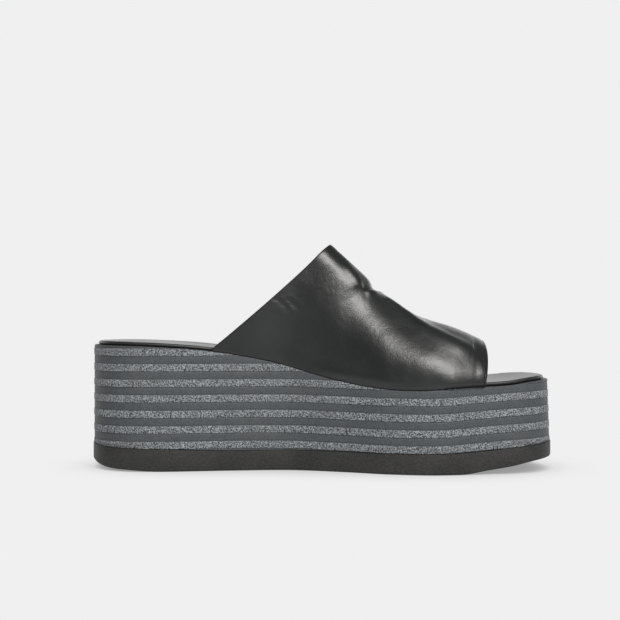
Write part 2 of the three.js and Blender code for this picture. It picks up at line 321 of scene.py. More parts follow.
class Finish:
    """The node network of one material or of the world."""

    def __init__(self, owner):
        self.owner = owner
        owner.use_nodes = True
        self.tree = owner.node_tree

    def node(self, kind, settings=None, sockets=None, output=0):
        made = self.tree.nodes.new("ShaderNode" + kind)
        for name, value in (settings or {}).items():
            setattr(made, name, value)
        for name, value in (sockets or {}).items():
            self.feed(made.inputs[name], value)
        return Signal(self, made.outputs[output])

    def feed(self, socket, value):
        if isinstance(value, Signal):
            self.tree.links.new(value.socket, socket)
        else:
            socket.default_value = value

    def axes(self, where):
        """The three axes of a place or a direction, each as a signal of its own."""
        split = self.node("SeparateXYZ", None, {"Vector": where}).socket.node
        return [Signal(self, output) for output in split.outputs]

    def mix(self, factor, a, b):
        settings = {"data_type": "RGBA"}
        return self.node("Mix", settings, {0: factor, 6: a, 7: b}, output=2)

    def noise(self, where, scale, detail=2, roughness=0.5, distortion=0):
        sockets = {
            "Vector": where,
            "Scale": scale,
            "Detail": detail,
            "Roughness": roughness,
            "Distortion": distortion,
        }
        return self.node("TexNoise", None, sockets)

    def bump(self, height, distance, strength=1, under=None):
        sockets = {"Height": height, "Distance": distance, "Strength": strength}
        if under is not None:
            sockets["Normal"] = under
        return self.node("Bump", None, sockets)

    def surface(self, **sockets):
        skin = self.tree.nodes["Principled BSDF"]
        for name, value in sockets.items():
            self.feed(skin.inputs[name.replace("_", " ")], value)
        return self.owner


def new_finish(name):
    return Finish(bpy.data.materials.new(name))


def grey(level, warmth=0):
    return (level * (1 + warmth), level, level * (1 - warmth), 1)


print("Signs that make Math nodes: + - * / abs()")

# %% [markdown]
# ## A sheet with the shape of the sole
#
# Each layer of the sole is a sheet with the same outline and a wall that hangs from its rim. A
# grid of squares is pressed into a disc, which spreads the squares evenly right up to the
# rim, and the disc is then drawn out to the outline. Each corner remembers its place on the
# disc, and every corner that is extruded from it later inherits that place.
#
# Where a wall meets a sheet, a few of its rows follow a quarter circle and round the edge.

# %% Sheet and wall
SHEET_ROWS, SHEET_COLUMNS = 168, 64
# The small turn that gives the outline's direction, the power with which a set-in dies away
# towards the middle of a sheet, and the half width of the disc below which a place counts as
# its tip. Corners closer than WELD, in mm, are merged.
RIM_STEP, RIM_PULL, TIP = 0.004, 4, 1e-4
WELD = 0.004
QUARTER = [math.radians(degrees) for degrees in (0, 22, 45, 68, 90)]
ROUNDING = [(1 - math.sin(turn), 1 - math.cos(turn)) for turn in QUARTER]


def rounded_rows(set_in, height, radius, lower=False):
    """The rows that round off the upper edge of a wall, or its lower edge."""
    sign = 1 if lower else -1
    return [
        (
            lambda at, z, r=r: set_in(at, z) + r * radius,
            lambda at, reach, d=d: height(at) + sign * d * radius,
        )
        for r, d in (reversed(ROUNDING) if lower else ROUNDING[1:])
    ]


@lru_cache(maxsize=None)
def way_out(turn):
    """The direction straight out of the outline, for a turn round the disc."""

    def rim(angle):
        at = (1 + math.cos(angle)) / 2
        return Vector((place(at), outline_y(at, 1 if math.sin(angle) > 0 else -1)))

    run = rim(turn + RIM_STEP) - rim(turn - RIM_STEP)
    return Vector((run.y, -run.x)).normalized()


def plan_point(disc, set_in):
    """Where a place on the disc lies in plan, with the rim set in by so many millimetres."""
    u, v = disc.x, disc.y
    at = (1 + u) / 2
    half = math.sqrt(max(0, 1 - u * u))
    across = 0.5 + 0.5 * clamp(v / half, -1, 1) if half > TIP else 0.5
    point = Vector((place(at), lerp(outline_y(at, -1), outline_y(at, 1), across)))
    reach = clamp(math.hypot(u, v))
    out = way_out(round(math.atan2(v, u), 9))
    return point - out * set_in * reach**RIM_PULL


class Layer:
    """A layer of the sole while it is being modelled."""

    def __init__(self):
        self.bm = bmesh.new()
        self.disc = self.bm.verts.layers.float_vector.new("disc")
        self.level = self.bm.verts.layers.float.new("level")

    def sheet(self, set_in, height):
        """Lays a new sheet, and gives back the edges of its rim."""
        size = {"x_segments": SHEET_ROWS, "y_segments": SHEET_COLUMNS, "size": 1}
        corners = bmesh.ops.create_grid(self.bm, **size)["verts"]
        for corner in corners:
            x, y = corner.co.x, corner.co.y
            pressed = (x * math.sqrt(1 - y * y / 2), y * math.sqrt(1 - x * x / 2), 0)
            corner[self.disc] = Vector(pressed)
        self.lay(corners, set_in, height)
        mine = set(corners)
        return [edge for edge in self.bm.edges if edge.is_boundary and edge.verts[0] in mine]

    def lay(self, corners, set_in, height):
        """Moves corners to their place: set_in(at, z) in plan, at height(at, reach)."""
        for corner in corners:
            disc = corner[self.disc]
            reach = clamp(disc.length)
            at = (1 + disc.x) / 2
            z = height(at, reach)
            plan = plan_point(disc, set_in(at, z))
            corner.co = Vector((plan.x, plan.y + PLAN_SHIFT, z)) * MM

    def hang(self, edges, rows):
        """Extrudes the rim once for each row of the wall."""
        for set_in, height in rows:
            made = bmesh.ops.extrude_edge_only(self.bm, edges=edges)["geom"]
            corners = [item for item in made if isinstance(item, bmesh.types.BMVert)]
            edges = [e for e in made if isinstance(e, bmesh.types.BMEdge) and e.is_boundary]
            self.lay(corners, set_in, height)

    def close(self):
        bmesh.ops.remove_doubles(self.bm, verts=self.bm.verts, dist=WELD * MM)
        bmesh.ops.recalc_face_normals(self.bm, faces=self.bm.faces)
        open_edges = sum(not edge.is_manifold for edge in self.bm.edges)
        print("  faces:", len(self.bm.faces), " open edges:", open_edges)


def new_piece(name, bm, node, slot, *finishes):
    mesh = bpy.data.meshes.new(name)
    bm.to_mesh(mesh)
    bm.free()
    mesh.shade_smooth()
    for finish in finishes:
        mesh.materials.append(finish)
    piece = bpy.data.objects.new(name, mesh)
    bpy.context.collection.objects.link(piece)
    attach(piece, "root")
    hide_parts(node)
    print(name, [round(side / MM, 1) for side in piece.dimensions], "mm")
    return piece


print("Squares in a sheet:", SHEET_ROWS * SHEET_COLUMNS)

# %% [markdown]
# ## The rubber of the outsole
#
# Hard rubber looks black, with fine grey specks and a dull, even shine. Underneath, zigzag
# grooves run across the tread inside a plain margin, and the finish paints them darker: painted
# shade in the grooves. The mesh carries a number, `level`, that rises from the rim of the tread
# to its middle, so the finish knows where the margin ends.

# %% Outsole finish
# Pitch, zigzag and depth in mm. The swing and the grooves are shares of the pitch, and the
# margin is a share of the way from the rim to the middle.
TREAD_PITCH, TREAD_ZIGZAG, TREAD_SWING, TREAD_DEPTH = 5.5, 16, 2.4, 0.8
GROOVE_HALF, GROOVE_SLOPE = 0.24, 0.10
TREAD_MARGIN, MARGIN_FADE = 0.10, 0.02


def rubber_finish():
    finish = new_finish("speckled_rubber")
    where = finish.node("TexCoord", output="Object")
    cloud = finish.noise(where, 60, detail=3)
    speck = finish.noise(where, 1500, detail=2)
    tone = cloud.ramp(0.3, 0.7) * 0.3 + speck.ramp(0.35, 0.65) * 0.7
    rubber_colour = finish.mix(tone, grey(0.007, 0.03), grey(0.034, 0.03))

    x, y, _ = finish.axes(where)
    swing = abs((y / (TREAD_ZIGZAG * MM)).fraction() - 0.5) * TREAD_SWING
    line = (x / (TREAD_PITCH * MM) + swing).fraction()
    level = finish.node("Attribute", {"attribute_name": "level"}, output="Fac")
    inside = level.ramp(TREAD_MARGIN, TREAD_MARGIN + MARGIN_FADE)
    # Painted shade: the grooves of the tread are painted darker than the rubber around them.
    painted_groove_shade = (1 - abs(line - 0.5).ramp(GROOVE_HALF - GROOVE_SLOPE, GROOVE_HALF)) * inside
    return finish.surface(
        Base_Color=finish.mix(painted_groove_shade, rubber_colour, grey(0.008)),
        Roughness=0.52 + 0.12 * cloud + 0.1 * speck,
        Normal=finish.bump(speck, 0.10 * MM, 0.8),
    )


rubber = rubber_finish()
print("Made", rubber.name)

# %% [markdown]
# ## The outsole
#
# Eleven millimetres of rubber under the foam. Its lower edge is rounded, and its upper edge
# stands a hair proud of the foam, so the seam between them catches a thin line of light. The
# middle of the underside is subdivided once more, so that its zigzag grooves are real ones.

# %% Outsole
OUTSOLE_EDGE, OUTSOLE_BREAK = 1.2, 0.25
FINE_MARGIN = 0.08


def groove_depth(x, y, level):
    """How deep the tread is cut at a place, from 0 between the grooves to 1 inside them."""
    swing = abs(y / TREAD_ZIGZAG % 1 - 0.5) * TREAD_SWING
    line = (x / TREAD_PITCH + swing) % 1
    inside = clamp((level - TREAD_MARGIN) / MARGIN_FADE)
    return clamp((GROOVE_HALF - abs(line - 0.5)) / GROOVE_SLOPE) * inside


def make_outsole():
    layer = Layer()
    rim = layer.sheet(lambda at, z: OUTSOLE_BREAK, lambda at, reach: outsole_top(at))
    upper_edge = rounded_rows(lambda at, z: 0, outsole_top, OUTSOLE_BREAK)
    lower_edge = rounded_rows(lambda at, z: 0, tread, OUTSOLE_EDGE, lower=True)
    layer.hang(rim, upper_edge + lower_edge)
    made = len(layer.bm.verts)
    layer.sheet(lambda at, z: OUTSOLE_EDGE, lambda at, reach: tread(at))
    for corner in list(layer.bm.verts)[made:]:
        corner[layer.level] = 1 - corner[layer.disc].length
    middle = [
        edge
        for edge in layer.bm.edges
        if min(end[layer.level] for end in edge.verts) > FINE_MARGIN
    ]
    bmesh.ops.subdivide_edges(layer.bm, edges=middle, cuts=1, use_grid_fill=True)
    for corner in layer.bm.verts:
        depth = groove_depth(corner.co.x / MM, corner.co.y / MM, corner[layer.level])
        corner.co.z += TREAD_DEPTH * MM * depth
    layer.close()
    return new_piece("outsole_rubber", layer.bm, "outsole", "outsole_rubber", rubber)


outsole = make_outsole()

# %% [markdown]
# ## The foam of the midsole
#
# The foam is moulded in stripes: rough ribs of light crumb with smooth, darker bands sunk
# between them. The mesh carries a number, `level`, that counts the stripes upwards, so the
# finish knows which is which without a picture. The top of the foam has no stripes, and takes a
# second finish that is plain.

# %% Stripes and foam finish
RIB_WIDTH, RIB_SPACE, RIB_START = 4.3, 4.15, 12.1
PITCH = RIB_WIDTH + RIB_SPACE
RIB_SHARE = RIB_WIDTH / PITCH
# How softly a rib ends, and the dark line of painted shade along its border, as shares of the
# pitch.
BLUR_INSIDE, BLUR_OUTSIDE, BORDER_WIDTH = 0.03, 0.01, 0.04
BORDER_SHADE = 0.55


def foam_finish(name, ribbed):
    """Foam with its stripes where ribbed is 1, and with the smooth band's look all over at 0."""
    finish = new_finish(name)
    where = finish.node("TexCoord", output="Object")
    level = finish.node("Attribute", {"attribute_name": "level"}, output="Fac").fraction()
    middle = abs(level - RIB_SHARE / 2)
    middle = middle.maths("MINIMUM", middle, abs(level - (1 + RIB_SHARE / 2)))
    half = RIB_SHARE / 2
    rib = ribbed * (1 - middle.ramp(half - BLUR_INSIDE, half + BLUR_OUTSIDE))
    # Painted shade: a dark line along each rib's border, where the rib steps down to the band.
    painted_border_shade = ribbed * (1 - abs(middle - half).ramp(0.0, BORDER_WIDTH))

    lumps = finish.noise(where, 1400, detail=2, roughness=0.6, distortion=0.2)
    crumb = lumps.ramp(0.34, 0.68)
    fine = finish.noise(where, 2600, detail=2)
    cloud = finish.noise(where, 45, detail=3)

    rib_colour = finish.mix(crumb, grey(0.018, -0.08), grey(0.38, -0.07))
    band_colour = finish.mix(fine.ramp(0.3, 0.7), grey(0.028, -0.11), grey(0.100, -0.11))
    plain = finish.mix(rib, band_colour, rib_colour)
    # The painted shade along the rib borders darkens the colour by BORDER_SHADE.
    shaded = finish.mix(painted_border_shade * BORDER_SHADE, plain, grey(0.035, -0.03))
    colour = finish.mix(cloud.ramp(0.35, 0.75) * 0.22, shaded, grey(0.09, -0.03))
    height = crumb * rib + fine * 0.3
    return finish.surface(
        Base_Color=colour,
        Roughness=0.62 + 0.2 * crumb * rib,
        Normal=finish.bump(height, 0.25 * MM, 0.9),
    )


foam, plain_foam = foam_finish("striped_foam", 1), foam_finish("plain_foam", 0)
print("Stripes every", round(PITCH, 2), "mm, of which the rib is", round(RIB_SHARE, 2))

# %% [markdown]
# ## The midsole
#
# The wall is extruded level by level. The levels follow the stripes, which run level along the
# sole and rise a little at the toe, while the top edge of the foam falls from heel to ball
# and cuts across them. A level that would pass the top edge is held at it, and the doubled
# corners that this makes are merged. The top sheet and the rim of the toe get the plain finish.

# %% Midsole
RIB_SAG, RIB_TOE_RISE = 0.95, 3.5
RIB_COURSE = table(
    "at sag toe",
    (0.000, 0.00, 0.00),
    (0.300, 0.00, 0.00),
    (0.456, 0.20, 0.00),
    (0.520, 0.50, 0.00),
    (0.643, 0.95, 0.00),
    (0.700, 1.00, 0.00),
    (0.768, 1.00, 0.10),
    (0.818, 1.00, 0.36),
    (0.899, 1.00, 0.76),
    (1.000, 1.00, 1.00),
)
# How far up from a rib's lower edge, and how far the wall is sunk there.
STRIPE = [
    (0.00, 0.38),
    (0.12, 0.24),
    (0.30, 0.06),
    (0.55, 0.00),
    (RIB_WIDTH - 0.55, 0.00),
    (RIB_WIDTH - 0.30, 0.06),
    (RIB_WIDTH - 0.12, 0.24),
    (RIB_WIDTH, 0.38),
    (RIB_WIDTH + 0.20, 0.40),
    (RIB_WIDTH + 0.40, 0.24),
    (RIB_WIDTH + 0.70, 0.20),
    (PITCH - 0.70, 0.20),
    (PITCH - 0.40, 0.24),
    (PITCH - 0.20, 0.40),
]
FOAM_EDGE = 0.5
STRIPED, PLAIN = 0, 1
TOE_RIM_START, TOE_RIM_HEIGHT = 0.85, 2.5


@lru_cache(maxsize=None)
def rib_course(at):
    return RIB_TOE_RISE * curve(RIB_COURSE, "toe", at) - RIB_SAG * curve(RIB_COURSE, "sag", at)


def stripe_depth(height):
    """How far the wall is sunk at a height over the lowest rib's lower edge."""
    within = height % PITCH
    rows = STRIPE + [(PITCH, STRIPE[0][1])]
    for (low, a), (high, b) in zip(rows, rows[1:]):
        if within <= high:
            return lerp(a, b, (within - low) / (high - low))


def foam_inset(at, z):
    return side_inset(at, z) + stripe_depth(z - rib_course(at) - RIB_START)


def make_midsole():
    layer = Layer()

    def foam_bottom(at):
        return outsole_top(at) + CLEARANCE

    rim = layer.sheet(
        lambda at, z: side_inset(at, z) + FOAM_EDGE, lambda at, reach: footbed(at)
    )
    top = set(layer.bm.faces)
    edge = rounded_rows(foam_inset, footbed, FOAM_EDGE)
    turns = math.ceil((HEEL_HEIGHT - RIB_START) / PITCH)
    levels = [RIB_START + k * PITCH + up for k in range(-1, turns) for up, _ in STRIPE]
    wall = [
        (
            foam_inset,
            lambda at, reach, level=level: clamp(
                level + rib_course(at), foam_bottom(at), footbed(at) - FOAM_EDGE
            ),
        )
        for level in reversed(levels)
    ]
    foot = [(foam_inset, lambda at, reach: foam_bottom(at))]
    layer.hang(rim, edge + wall + foot)
    layer.sheet(foam_inset, lambda at, reach: foam_bottom(at))
    for corner in layer.bm.verts:
        at = (1 + corner[layer.disc].x) / 2
        corner[layer.level] = (corner.co.z / MM - rib_course(at) - RIB_START) / PITCH + 1
    for face in layer.bm.faces:
        at = (1 + face.verts[0][layer.disc].x) / 2
        below_top = footbed(at) - face.calc_center_median().z / MM
        toe_rim = at > TOE_RIM_START and below_top < TOE_RIM_HEIGHT
        face.material_index = PLAIN if face in top or toe_rim else STRIPED
    layer.close()
    return new_piece("midsole_foam", layer.bm, "midsole", "ribbed_foam", foam, plain_foam)


midsole = make_midsole()

# %% [markdown]
# ## The insole
#
# A thin board wrapped in smooth leather lies inside the wall of the upper, with its rim
# rounded over. The foot presses it a little hollow.

# %% Insole
WALL, RIM_GAP = 2, 0.55
INSOLE_THICKNESS = 2
# Rows of the rim: how far in and how high up, both as shares of the thickness.
INSOLE_RIM = [(0.6, 1), (0.35, 0.95), (0.15, 0.83), (0.03, 0.68), (0, 0.5), (0, 0.25), (0.3, 0)]
DISH, DISH_POWER = 0.7, 3


def insole_leather_finish():
    finish = new_finish("insole_cover")
    where = finish.node("TexCoord", output="Object")
    grain = finish.noise(where, 1400, detail=3)
    cloud = finish.noise(where, 30, detail=3)
    colour = finish.mix(cloud.ramp(0.3, 0.7), grey(0.016), grey(0.026))
    return finish.surface(
        Base_Color=colour,
        Roughness=0.38 + 0.1 * cloud,
        Normal=finish.bump(grain, 0.06 * MM, 0.6),
    )


def make_insole():
    layer = Layer()

    def inset(more):
        return lambda at, z: side_inset(at, footbed(at)) + WALL + RIM_GAP + more * INSOLE_THICKNESS

    def top(up, dish=0):
        def height(at, reach):
            hollow = dish * DISH * (1 - reach**DISH_POWER)
            return footbed(at) + CLEARANCE + up * INSOLE_THICKNESS - hollow

        return height

    rim = layer.sheet(inset(INSOLE_RIM[0][0]), top(1, dish=1))
    layer.hang(rim, [(inset(more), top(up)) for more, up in INSOLE_RIM[1:]])
    layer.sheet(inset(INSOLE_RIM[-1][0]), top(0))
    layer.close()
    return new_piece("insole_cover", layer.bm, "insole", "insole_leather", insole_leather_finish())


insole = make_insole()

# %% [markdown]
# ## The form of the upper
#
# One piece of leather goes over the foot. A place on it has two numbers: `along` runs from
# the collar (0) to the front edge (1), and `over` from the inner edge of the sole (0) across
# the ridge of the foot (0.5) to the outer edge (1).

# %% Surface of the upper
INSTEP_HEIGHT, TOE_OPENING_HEIGHT, RIDGE_SHIFT = 74.2, 23.8, 8
COLLAR_SWEEP, COLLAR_FADE = 1.3, 6
COLLAR_BASE, COLLAR_TOP = place(0.264), place(0.521)
FRONT_BASE, FRONT_TOP = place(0.845), place(0.8585)
SECTIONS = table(
    "at ridge shift inner outer",
    (0.000, 1.000, 1.00, 1.00, 1.02),
    (0.065, 0.937, 1.00, 1.00, 1.02),
    (0.190, 0.785, 0.98, 1.00, 1.02),
    (0.260, 0.690, 0.95, 1.00, 1.02),
    (0.315, 0.592, 0.90, 1.00, 1.02),
    (0.390, 0.492, 0.83, 0.98, 1.00),
    (0.520, 0.362, 0.70, 0.95, 0.97),
    (0.650, 0.267, 0.50, 0.90, 0.92),
    (0.780, 0.186, 0.37, 0.84, 0.86),
    (0.910, 0.085, 0.30, 0.80, 0.80),
    (1.000, 0.000, 0.30, 0.80, 0.80),
    (1.100, -0.100, 0.30, 0.80, 0.80),
)
STEP = 0.004


@lru_cache(maxsize=None)
def section(column, along):
    return curve(SECTIONS, column, along)


@lru_cache(maxsize=200000)
def upper_point(along, over):
    base_x = lerp(COLLAR_BASE, FRONT_BASE, along)
    ridge_x = lerp(COLLAR_TOP, FRONT_TOP, along)
    side = -1 if over < 0.5 else 1
    lean = section("inner" if side < 0 else "outer", along)
    lift = max(0, math.sin(math.pi * over)) ** lean
    sweep = COLLAR_SWEEP * 4 * lift * (1 - lift) * (1 - along) ** COLLAR_FADE
    x = lerp(base_x, ridge_x, lift) + sweep
    base_z = footbed(share(base_x)) + CLEARANCE
    drop = INSTEP_HEIGHT - TOE_OPENING_HEIGHT
    ridge_z = footbed(share(ridge_x)) + TOE_OPENING_HEIGHT + drop * section("ridge", along)
    ridge_y = midline(share(ridge_x)) - RIDGE_SHIFT * section("shift", along)
    at = share(x)
    edge_y = outline_y(at, side) - side * side_inset(at, footbed(at))
    y = lerp(ridge_y, edge_y, abs(math.cos(math.pi * over)))
    return Vector((x, y + PLAN_SHIFT, lerp(base_z, ridge_z, lift)))


def upper_normal(along, over):
    if over in (0, 1):
        return Vector((0, 2 * over - 1, 0))
    forward = upper_point(clamp(along + STEP), over) - upper_point(clamp(along - STEP), over)
    across = upper_point(along, clamp(over + STEP)) - upper_point(along, clamp(over - STEP))
    return forward.cross(across).normalized()


print("Top of the collar:", [round(value, 1) for value in upper_point(0, 0.5)])

# %% [markdown]
# ## The leather of the upper
#
# Smooth black leather with fine pores: a little gloss, softened by the grain, over shallow
# waves. The lining is duller, and the cut edges are inked black.

# %% Upper finish


def leather_finish():
    finish = new_finish("creased_leather")
    where = finish.node("TexCoord", output="Object")
    pores = finish.node("TexVoronoi", {"feature": "F1"}, {"Vector": where, "Scale": 1300})
    grain = finish.noise(where, 700, detail=3)
    cloud = finish.noise(where, 25, detail=3)
    colour = finish.mix(cloud.ramp(0.3, 0.7), grey(0.011, -0.06), grey(0.019, -0.05))
    fine = finish.bump(pores * 0.5 + grain * 0.5, 0.06 * MM, 0.7)
    return finish.surface(
        Base_Color=colour,
        Roughness=0.27 + 0.10 * cloud + 0.06 * finish.noise(where, 130, detail=3),
        Normal=finish.bump(finish.noise(where, 85, detail=3), 0.55 * MM, 0.7, under=fine),
    )


def lining_finish():
    finish = new_finish("smooth_lining")
    where = finish.node("TexCoord", output="Object")
    grain = finish.noise(where, 1200, detail=3)
    colour = finish.mix(grain.ramp(0.3, 0.7), grey(0.020), grey(0.034))
    return finish.surface(
        Base_Color=colour,
        Roughness=0.62 + 0.1 * grain,
        Normal=finish.bump(grain, 0.06 * MM, 0.6),
    )


def edge_finish():
    finish = new_finish("edge_ink")
    where = finish.node("TexCoord", output="Object")
    fibres = finish.noise(where, 2500, detail=2)
    return finish.surface(
        Base_Color=finish.mix(fibres.ramp(0.3, 0.7), grey(0.006), grey(0.014)),
        Roughness=0.6 + 0.2 * fibres,
        Specular_IOR_Level=0.2,
        Normal=finish.bump(fibres, 0.05 * MM, 0.6),
    )


leather, lining, edge_ink = leather_finish(), lining_finish(), edge_finish()
print("Made", leather.name, lining.name, edge_ink.name)

# %% [markdown]
# ## The creases
#
# Leather that has been walked in bends in the same places each time. Each crease is a line of
# points on the shoe, in millimetres, with its height (a ridge is positive, a trough negative),
# its widths to the left and right of the line, and the lengths over which it fades out at its
# two ends.

# %% Creases
CREASES = [
    {
        "name": "instep_roll",
        "height": 1.3,
        "widths": (7, 8),
        "fades": (1, 8),
        "line": [
            (-10, -10, 131), (1.3, -17.6, 118.9), (7.2, -18.4, 114.2), (13.2, -19.5, 108.7),
            (18.4, -21.1, 103.2), (23.2, -22.4, 98.5),
        ],
    },
    {
        "name": "facet",
        "height": 0.7,
        "widths": (4, 2.6),
        "fades": (8, 2),
        "line": [
            (13.4, -14.6, 115.3), (15.3, -16.7, 111.5), (17.7, -18.6, 107.3),
            (20.4, -20.3, 103.4), (22.1, -21.8, 100.1),
        ],
    },
    {
        "name": "forefoot_trough",
        "height": -0.9,
        "widths": (6, 6),
        "fades": (8, 12),
        "line": [
            (29.1, 3.1, 101.3), (33, -10.4, 98.7), (38.3, -8.4, 94.4), (45.7, -7.9, 89.6),
            (52.2, -16.1, 84.7),
        ],
    },
    {
        "name": "forefoot_roll",
        "height": 2.0,
        "widths": (7, 7),
        "fades": (12, 16),
        "line": [
            (31.1, -11.6, 100.4), (37.9, -9, 94.7), (44.9, -16.9, 88), (50.9, -22.7, 82.4),
            (57.7, -27.6, 77.4), (66.5, -32, 72.8), (75.1, -34.8, 68.5),
            (82.4, -35.7, 65.3), (89.5, -34.3, 63.7),
        ],
    },
    {
        "name": "toe_roll",
        "height": 2.2,
        "widths": (10, 4),
        "fades": (14, 1),
        "line": [
            (58.1, -47.6, 45.4), (64, -47.5, 45.7), (73, -46.1, 46.3), (81.9, -44.2, 46.8),
            (88.7, -42.8, 47.1),
        ],
    },
    {
        "name": "crease",
        "height": -0.95,
        "widths": (3.0, 2.2),
        "fades": (3, 30),
        "line": [
            (22.5, -21.4, 100.4), (25.7, -19.3, 100.8), (29.4, -15.2, 100.6),
            (31.8, -4.4, 100.1), (31.7, 0.8, 99.2), (30.3, 12.5, 95.3), (28.3, 24.4, 87.7),
            (29.4, 32.3, 79.3),
        ],
    },
    {
        "name": "crease_lip",
        "height": 0.85,
        "widths": (2.2, 4),
        "fades": (4, 30),
        "line": [
            (23.7, -22.4, 98), (27, -20.3, 98.3), (29.6, -18.2, 98), (33.5, 1, 97.5),
            (32.2, 12.6, 93.8), (30.3, 24.6, 86.5), (31.6, 32.5, 78.4),
        ],
    },
    {
        "name": "sole_tension",
        "height": 0.45,
        "widths": (2.5, 3),
        "fades": (15, 15),
        "line": [
            (-5.5, -28.2, 57.3), (7.7, -32.6, 53.7), (21.4, -37.7, 51.4),
            (36.8, -43.7, 49.5), (49.9, -46.6, 49.2),
        ],
    },
    {
        "name": "wrinkle_1",
        "height": 0.2,
        "widths": (0.9, 1.0),
        "fades": (4, 5),
        "line": [
            (-29.4, -24.1, 92.5), (-26.8, -23.9, 92.9), (-23.1, -23.8, 90.2),
            (-18.1, -24, 87.1),
        ],
    },
    {
        "name": "wrinkle_2",
        "height": -0.2,
        "widths": (0.9, 0.9),
        "fades": (4, 5),
        "line": [
            (-27.5, -23.8, 94.1), (-23.9, -23.5, 94.1), (-20.2, -23.6, 91.3),
            (-16.1, -24, 87.3),
        ],
    },
    {
        "name": "wrinkle_3",
        "height": 0.22,
        "widths": (0.9, 1.0),
        "fades": (4, 5),
        "line": [
            (-24.1, -23.3, 95.3), (-20.8, -23.3, 93.9), (-16.8, -23.7, 89.8),
            (-12, -24.6, 85.5),
        ],
    },
    {
        "name": "wrinkle_4",
        "height": -0.18,
        "widths": (1.0, 0.9),
        "fades": (4, 5),
        "line": [
            (-20.5, -23.2, 94.9), (-17.1, -23.3, 93.3), (-13.1, -24, 89.3),
            (-8.7, -25, 86.2),
        ],
    },
    {
        "name": "wrinkle_5",
        "height": 0.16,
        "widths": (0.9, 1.0),
        "fades": (4, 5),
        "line": [
            (-29.3, -24.5, 89.2), (-24.3, -24.1, 88.4), (-19.9, -24.2, 85.5),
            (-16.7, -24.6, 82.1),
        ],
    },
    {
        "name": "wrinkle_8",
        "height": 0.16,
        "widths": (0.9, 1.0),
        "fades": (4, 5),
        "line": [
            (-19.9, -22.9, 97), (-16.1, -23.1, 95), (-12.4, -23.7, 92.2),
            (-7.8, -24.9, 87.8),
        ],
    },
    {
        "name": "wrinkle_6",
        "height": 0.07,
        "widths": (1.2, 1.2),
        "fades": (3, 4),
        "line": [
            (-13.5, -21.7, 104.9), (-9.3, -22.1, 103.5), (-5.4, -23.1, 100.2),
        ],
    },
]
CREASE_REACH = 2.5


def ease(t):
    return clamp(t) ** 2 * (3 - 2 * clamp(t))


class Crease:
    """A soft ridge or trough that follows a line on the leather."""

    def __init__(self, name, height, widths, fades, line):
        self.name = name
        self.height, self.widths, self.fades = height, widths, fades
        self.line = [Vector(corner) for corner in line]
        self.middle = sum(self.line, Vector()) / len(line)
        furthest = max((corner - self.middle).length for corner in self.line)
        self.reach = CREASE_REACH * max(widths) + furthest

    def nearest(self, point, normal):
        """Distance from the line, how far along it, whether that is its left, and its length."""
        run, best = 0, (1e9, 0, True)
        for a, b in zip(self.line, self.line[1:]):
            t = clamp((point - a).dot(b - a) / (b - a).length_squared)
            off = point - a.lerp(b, t)
            if off.length < best[0]:
                on_left = (b - a).cross(off).dot(normal) > 0
                best = (off.length, run + t * (b - a).length, on_left)
            run += (b - a).length
        return *best, run

    def lift(self, point, normal):
        if (point - self.middle).length > self.reach:
            return 0
        off, run, on_left, length = self.nearest(point, normal)
        width = self.widths[0 if on_left else 1]
        swell = ease(run / self.fades[0]) * ease((length - run) / self.fades[1])
        return self.height * swell * math.exp(-((off / width) ** 2))


creases = [Crease(**row) for row in CREASES]


def crease_height(point, normal):
    return sum(crease.lift(point, normal) for crease in creases)


print("Creases:", ", ".join(crease.name for crease in creases))

# %% [markdown]
# ## The upper
#
# The wall is one closed body. A grid is wrapped right round it: up the outside from the
# collar to the front edge, over the rolled hem, back along the lining, and across the cut
# edge of the collar to where it began. What is left open is the wall's narrow underside,
# which is filled.
#
# The tables give the section of the hem and of the cut collar: how deep in the wall a row lies,
# and how far back from the edge. The leather turns in over the hem for a few rows, and one row
# of faces beside each edge is inked with it.

# %% Upper
OUTSIDE_ROWS, INSIDE_ROWS, OVER_COLUMNS = 230, 80, 170
RUN = FRONT_BASE - COLLAR_BASE
EDGE_SETBACK = 0.9
HEM_START = 0.8
HEM = table(
    "at height",
    (0.0, 0.00),
    (2.0, 0.09),
    (4.0, 0.10),
    (6.0, 0.01),
    (7.2, -0.07),
    (9.0, -0.03),
    (12.0, 0.00),
)
ROLL = table(
    "deep back",
    (0.04, 0.62),
    (0.13, 0.30),
    (0.30, 0.09),
    (0.50, 0.00),
    (0.70, 0.09),
    (0.87, 0.30),
    (0.96, 0.62),
)
CUT = table(
    "deep back",
    (0.97, 0.20),
    (0.86, 0.05),
    (0.72, 0.00),
    (0.64, 0.10),
    (0.61, 0.40),
    (0.58, 0.10),
    (0.50, 0.00),
    (0.20, 0.00),
    (0.06, 0.06),
    (0.01, 0.20),
    (0.00, EDGE_SETBACK / 2),
)
HEM_TURN = 8
SOLE_FADE = 0.008
LEATHER, LINING, INK = 0, 1, 2


def face_rows(count):
    """Evenly spaced places along the leather, from one edge's rounding to the other's."""
    first, last = EDGE_SETBACK / 2 / RUN, 1 - WALL * EDGE_SETBACK / RUN
    return [lerp(first, last, k / (count - 1)) for k in range(count)]


def upper_rows():
    """Every row of the wrapped grid: how far along it lies, how deep in the wall, its finish."""
    outside = [(along, 0, LEATHER) for along in face_rows(OUTSIDE_ROWS)]
    for inked in (0, OUTSIDE_ROWS - 2):
        along, deep, _ = outside[inked]
        outside[inked] = (along, deep, INK)
    roll = [(1 - row["back"] * WALL / RUN, row["deep"], INK) for row in ROLL]
    inside = [(along, 1, LINING) for along in reversed(face_rows(INSIDE_ROWS))]
    inside[:HEM_TURN] = [(along, deep, LEATHER) for along, deep, _ in inside[:HEM_TURN]]
    cut = [(row["back"] / RUN, row["deep"], INK) for row in CUT]
    return outside + roll + inside + cut


def hem_height(along, over, deep):
    """How far the turned hem stands out, which the lining doesn't show."""
    if along < HEM_START:
        return 0
    from_edge = (upper_point(1, over) - upper_point(along, over)).length
    return curve(HEM, "height", from_edge) * (1 - deep) if from_edge < HEM[-1]["at"] else 0


